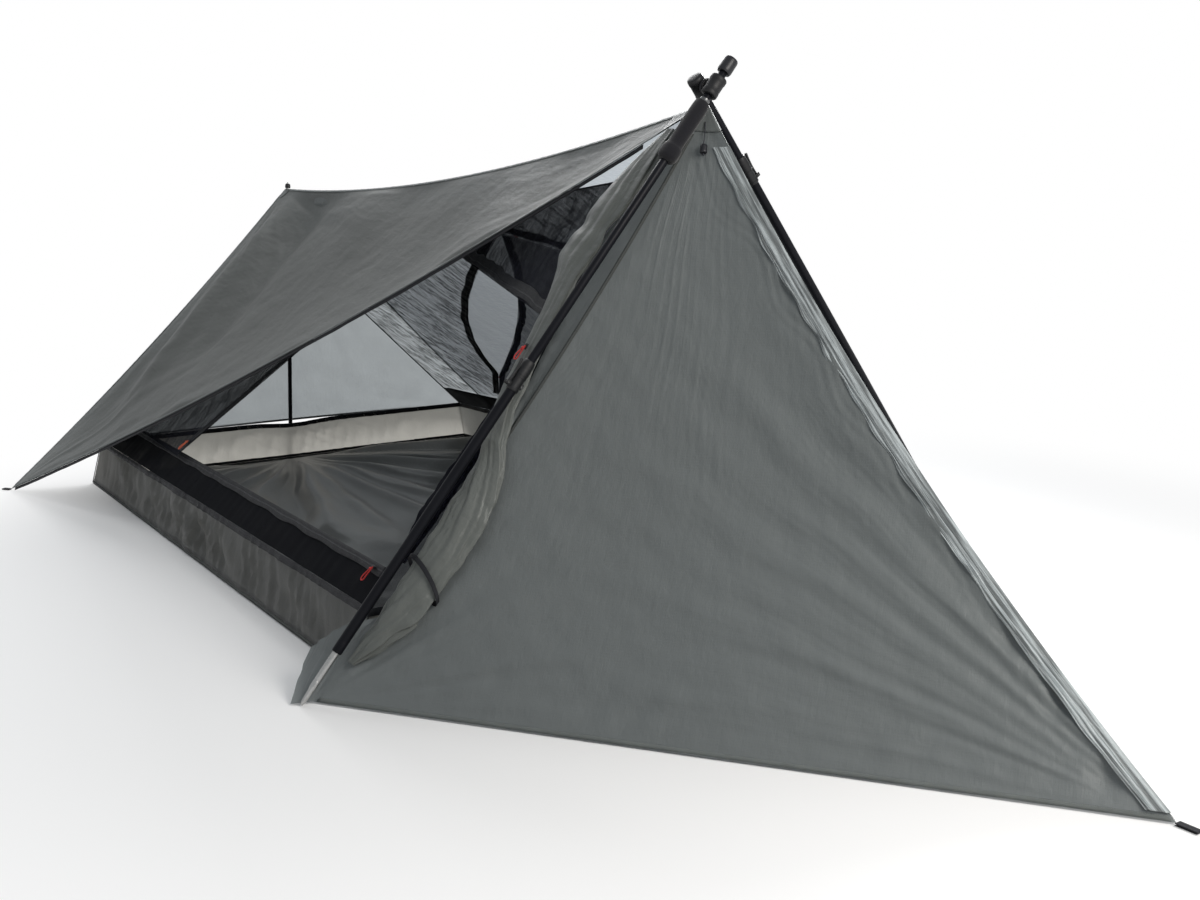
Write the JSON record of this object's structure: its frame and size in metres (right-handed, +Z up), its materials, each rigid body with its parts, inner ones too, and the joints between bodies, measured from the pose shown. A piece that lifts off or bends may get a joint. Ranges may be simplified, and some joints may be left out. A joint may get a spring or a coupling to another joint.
{
  "type": "ridge tent",
  "caption": "Pitched ridge tent with crossed front poles, a sloping fly over a mesh inner on a bathtub floor, and one side door rolled open.",
  "frame": {"origin": "centre of the footprint, on the ground under the floor", "axes": "+Z up, +Y towards the low rear end, -X towards the open door"},
  "size_m": [1.7408, 3.2989, 1.0965],
  "materials": {
    "fly_cloth": "thin silicone-coated ripstop nylon, slightly glossy",
    "floor_cloth": "coated nylon, heavier than the fly",
    "mesh": "fine black insect mesh, see-through",
    "web": "black polyester tape",
    "pole_paint": "black anodised, satin",
    "bright_metal": "bright brushed",
    "black_plastic": "moulded, fine texture",
    "foam": "closed-cell foam",
    "red_cord": "red pull cord on a coated slider"
  },
  "bodies": {
    "shelter": {"roof_left": "fly_cloth", "roof_right": "fly_cloth", "rear_panel": "fly_cloth", "vestibule_left": "fly_cloth", "vestibule_right": "fly_cloth", "front_band": "fly_cloth", "door_right": "fly_cloth", "door_left_roll": "fly_cloth", "door_tie_left": "web", "side_zip_left": "web", "side_zip_right": "web", "apex_patch": "fly_cloth", "rear_patch": "fly_cloth", "hub_strap": "web", "apex_hub": "black_plastic", "stake_tab_front": "web", "stake_tab_rear_left": "web", "stake_tab_rear_right": "web", "floor": "floor_cloth", "bathtub_wall": "floor_cloth", "mesh_strip_left": "mesh", "mesh_strip_right": "mesh", "mesh_wall_left": "mesh", "mesh_wall_right": "mesh", "mesh_door_left": "mesh", "mesh_door_right": "mesh", "mesh_front": "mesh", "mesh_rear": "mesh", "strip_zip_left": "web", "strip_zip_right": "web", "arch_zip_left": "web", "arch_zip_right": "web", "door_zip_right": "web", "ridge_tab_front": "web", "ridge_tab_rear": "web", "rear_tie": "web", "rear_pole": "pole_paint", "rear_pole_pin": "bright_metal", "slider_fly_left": "red_cord", "apex_cord": "web"},
    "left_pole": {"left_pole_shaft": "pole_paint", "left_pole_grip": "foam", "left_pole_ring": "black_plastic", "left_pole_cap": "black_plastic"},
    "left_lower": {"left_pole_tube": "pole_paint", "left_pole_clamp": "black_plastic"},
    "left_tip": {"left_pole_tip": "bright_metal"},
    "left_lever": {"left_pole_lever": "black_plastic"},
    "right_pole": {"right_pole_shaft": "pole_paint", "right_pole_ring": "black_plastic"},
    "right_lower": {"right_pole_tube": "pole_paint", "right_pole_clamp": "black_plastic"},
    "right_tip": {"right_pole_tip": "bright_metal"},
    "right_lever": {"right_pole_lever": "black_plastic"},
    "strip_slider": {"slider_left_front": "red_cord"},
    "leg_slider": {"slider_left_rear": "red_cord"},
    "lens_lower_slider": {"slider_right_lower": "red_cord"},
    "lens_upper_slider": {"slider_right_upper": "red_cord"},
    "side_slider": {"slider_side_right": "red_cord"},
    "cord_lock": {"cord_lock": "black_plastic"}
  },
  "joints": [
    {"name": "left_pole_swing", "type": "hinge", "parent": "shelter", "child": "left_pole", "pos_m": [0, -0.5842, 1.04], "axis": [0, 1, 0], "range_deg": [0, 10]},
    {"name": "left_pole_length", "type": "slide", "parent": "left_pole", "child": "left_lower", "axis": [0.6163, -0.0648, 0.7849], "range_m": [0, 0.22]},
    {"name": "left_tip_length", "type": "slide", "parent": "left_lower", "child": "left_tip", "axis": [0.6163, -0.0648, 0.7849], "range_m": [0, 0.07]},
    {"name": "left_lever_open", "type": "hinge", "parent": "left_lower", "child": "left_lever", "pos_m": [-0.42255, -0.54106, 0.52742], "axis": [-0.0407, -0.9979, -0.0504], "range_deg": [0, 120]},
    {"name": "right_pole_swing", "type": "hinge", "parent": "shelter", "child": "right_pole", "pos_m": [0, -0.5428, 1.04], "axis": [0, -1, 0], "range_deg": [0, 10]},
    {"name": "right_pole_length", "type": "slide", "parent": "right_pole", "child": "right_lower", "axis": [-0.6172, -0.0335, 0.7861], "range_m": [0, 0.13]},
    {"name": "right_tip_length", "type": "slide", "parent": "right_lower", "child": "right_tip", "axis": [-0.6172, -0.0335, 0.7861], "range_m": [0, 0.07]},
    {"name": "right_lever_open", "type": "hinge", "parent": "right_lower", "child": "right_lever", "pos_m": [0.14418, -0.53563, 0.88195], "axis": [-0.0211, 0.9994, 0.0261], "range_deg": [0, 120]},
    {"name": "left_strip_zip", "type": "slide", "parent": "shelter", "child": "strip_slider", "axis": [0.036, 0.9994, 0], "range_m": [0, 1.15]},
    {"name": "left_leg_zip", "type": "slide", "parent": "shelter", "child": "leg_slider", "axis": [0.6047, -0.4906, 0.6275], "range_m": [0, 0.3]},
    {"name": "right_lens_lower", "type": "slide", "parent": "shelter", "child": "lens_lower_slider", "axis": [0.4256, 0.7733, -0.47], "range_m": [0, 0.12]},
    {"name": "right_lens_upper", "type": "slide", "parent": "shelter", "child": "lens_upper_slider", "axis": [0.2508, -0.9498, -0.1868], "range_m": [0, 0.3]},
    {"name": "right_side_zip", "type": "slide", "parent": "shelter", "child": "side_slider", "axis": [-0.3326, -0.8568, 0.394], "range_m": [0, 1.6]},
    {"name": "cord_lock_slide", "type": "slide", "parent": "shelter", "child": "cord_lock", "axis": [0.3584, 0.3806, 0.8525], "range_m": [0, 0.015]}
  ]
}
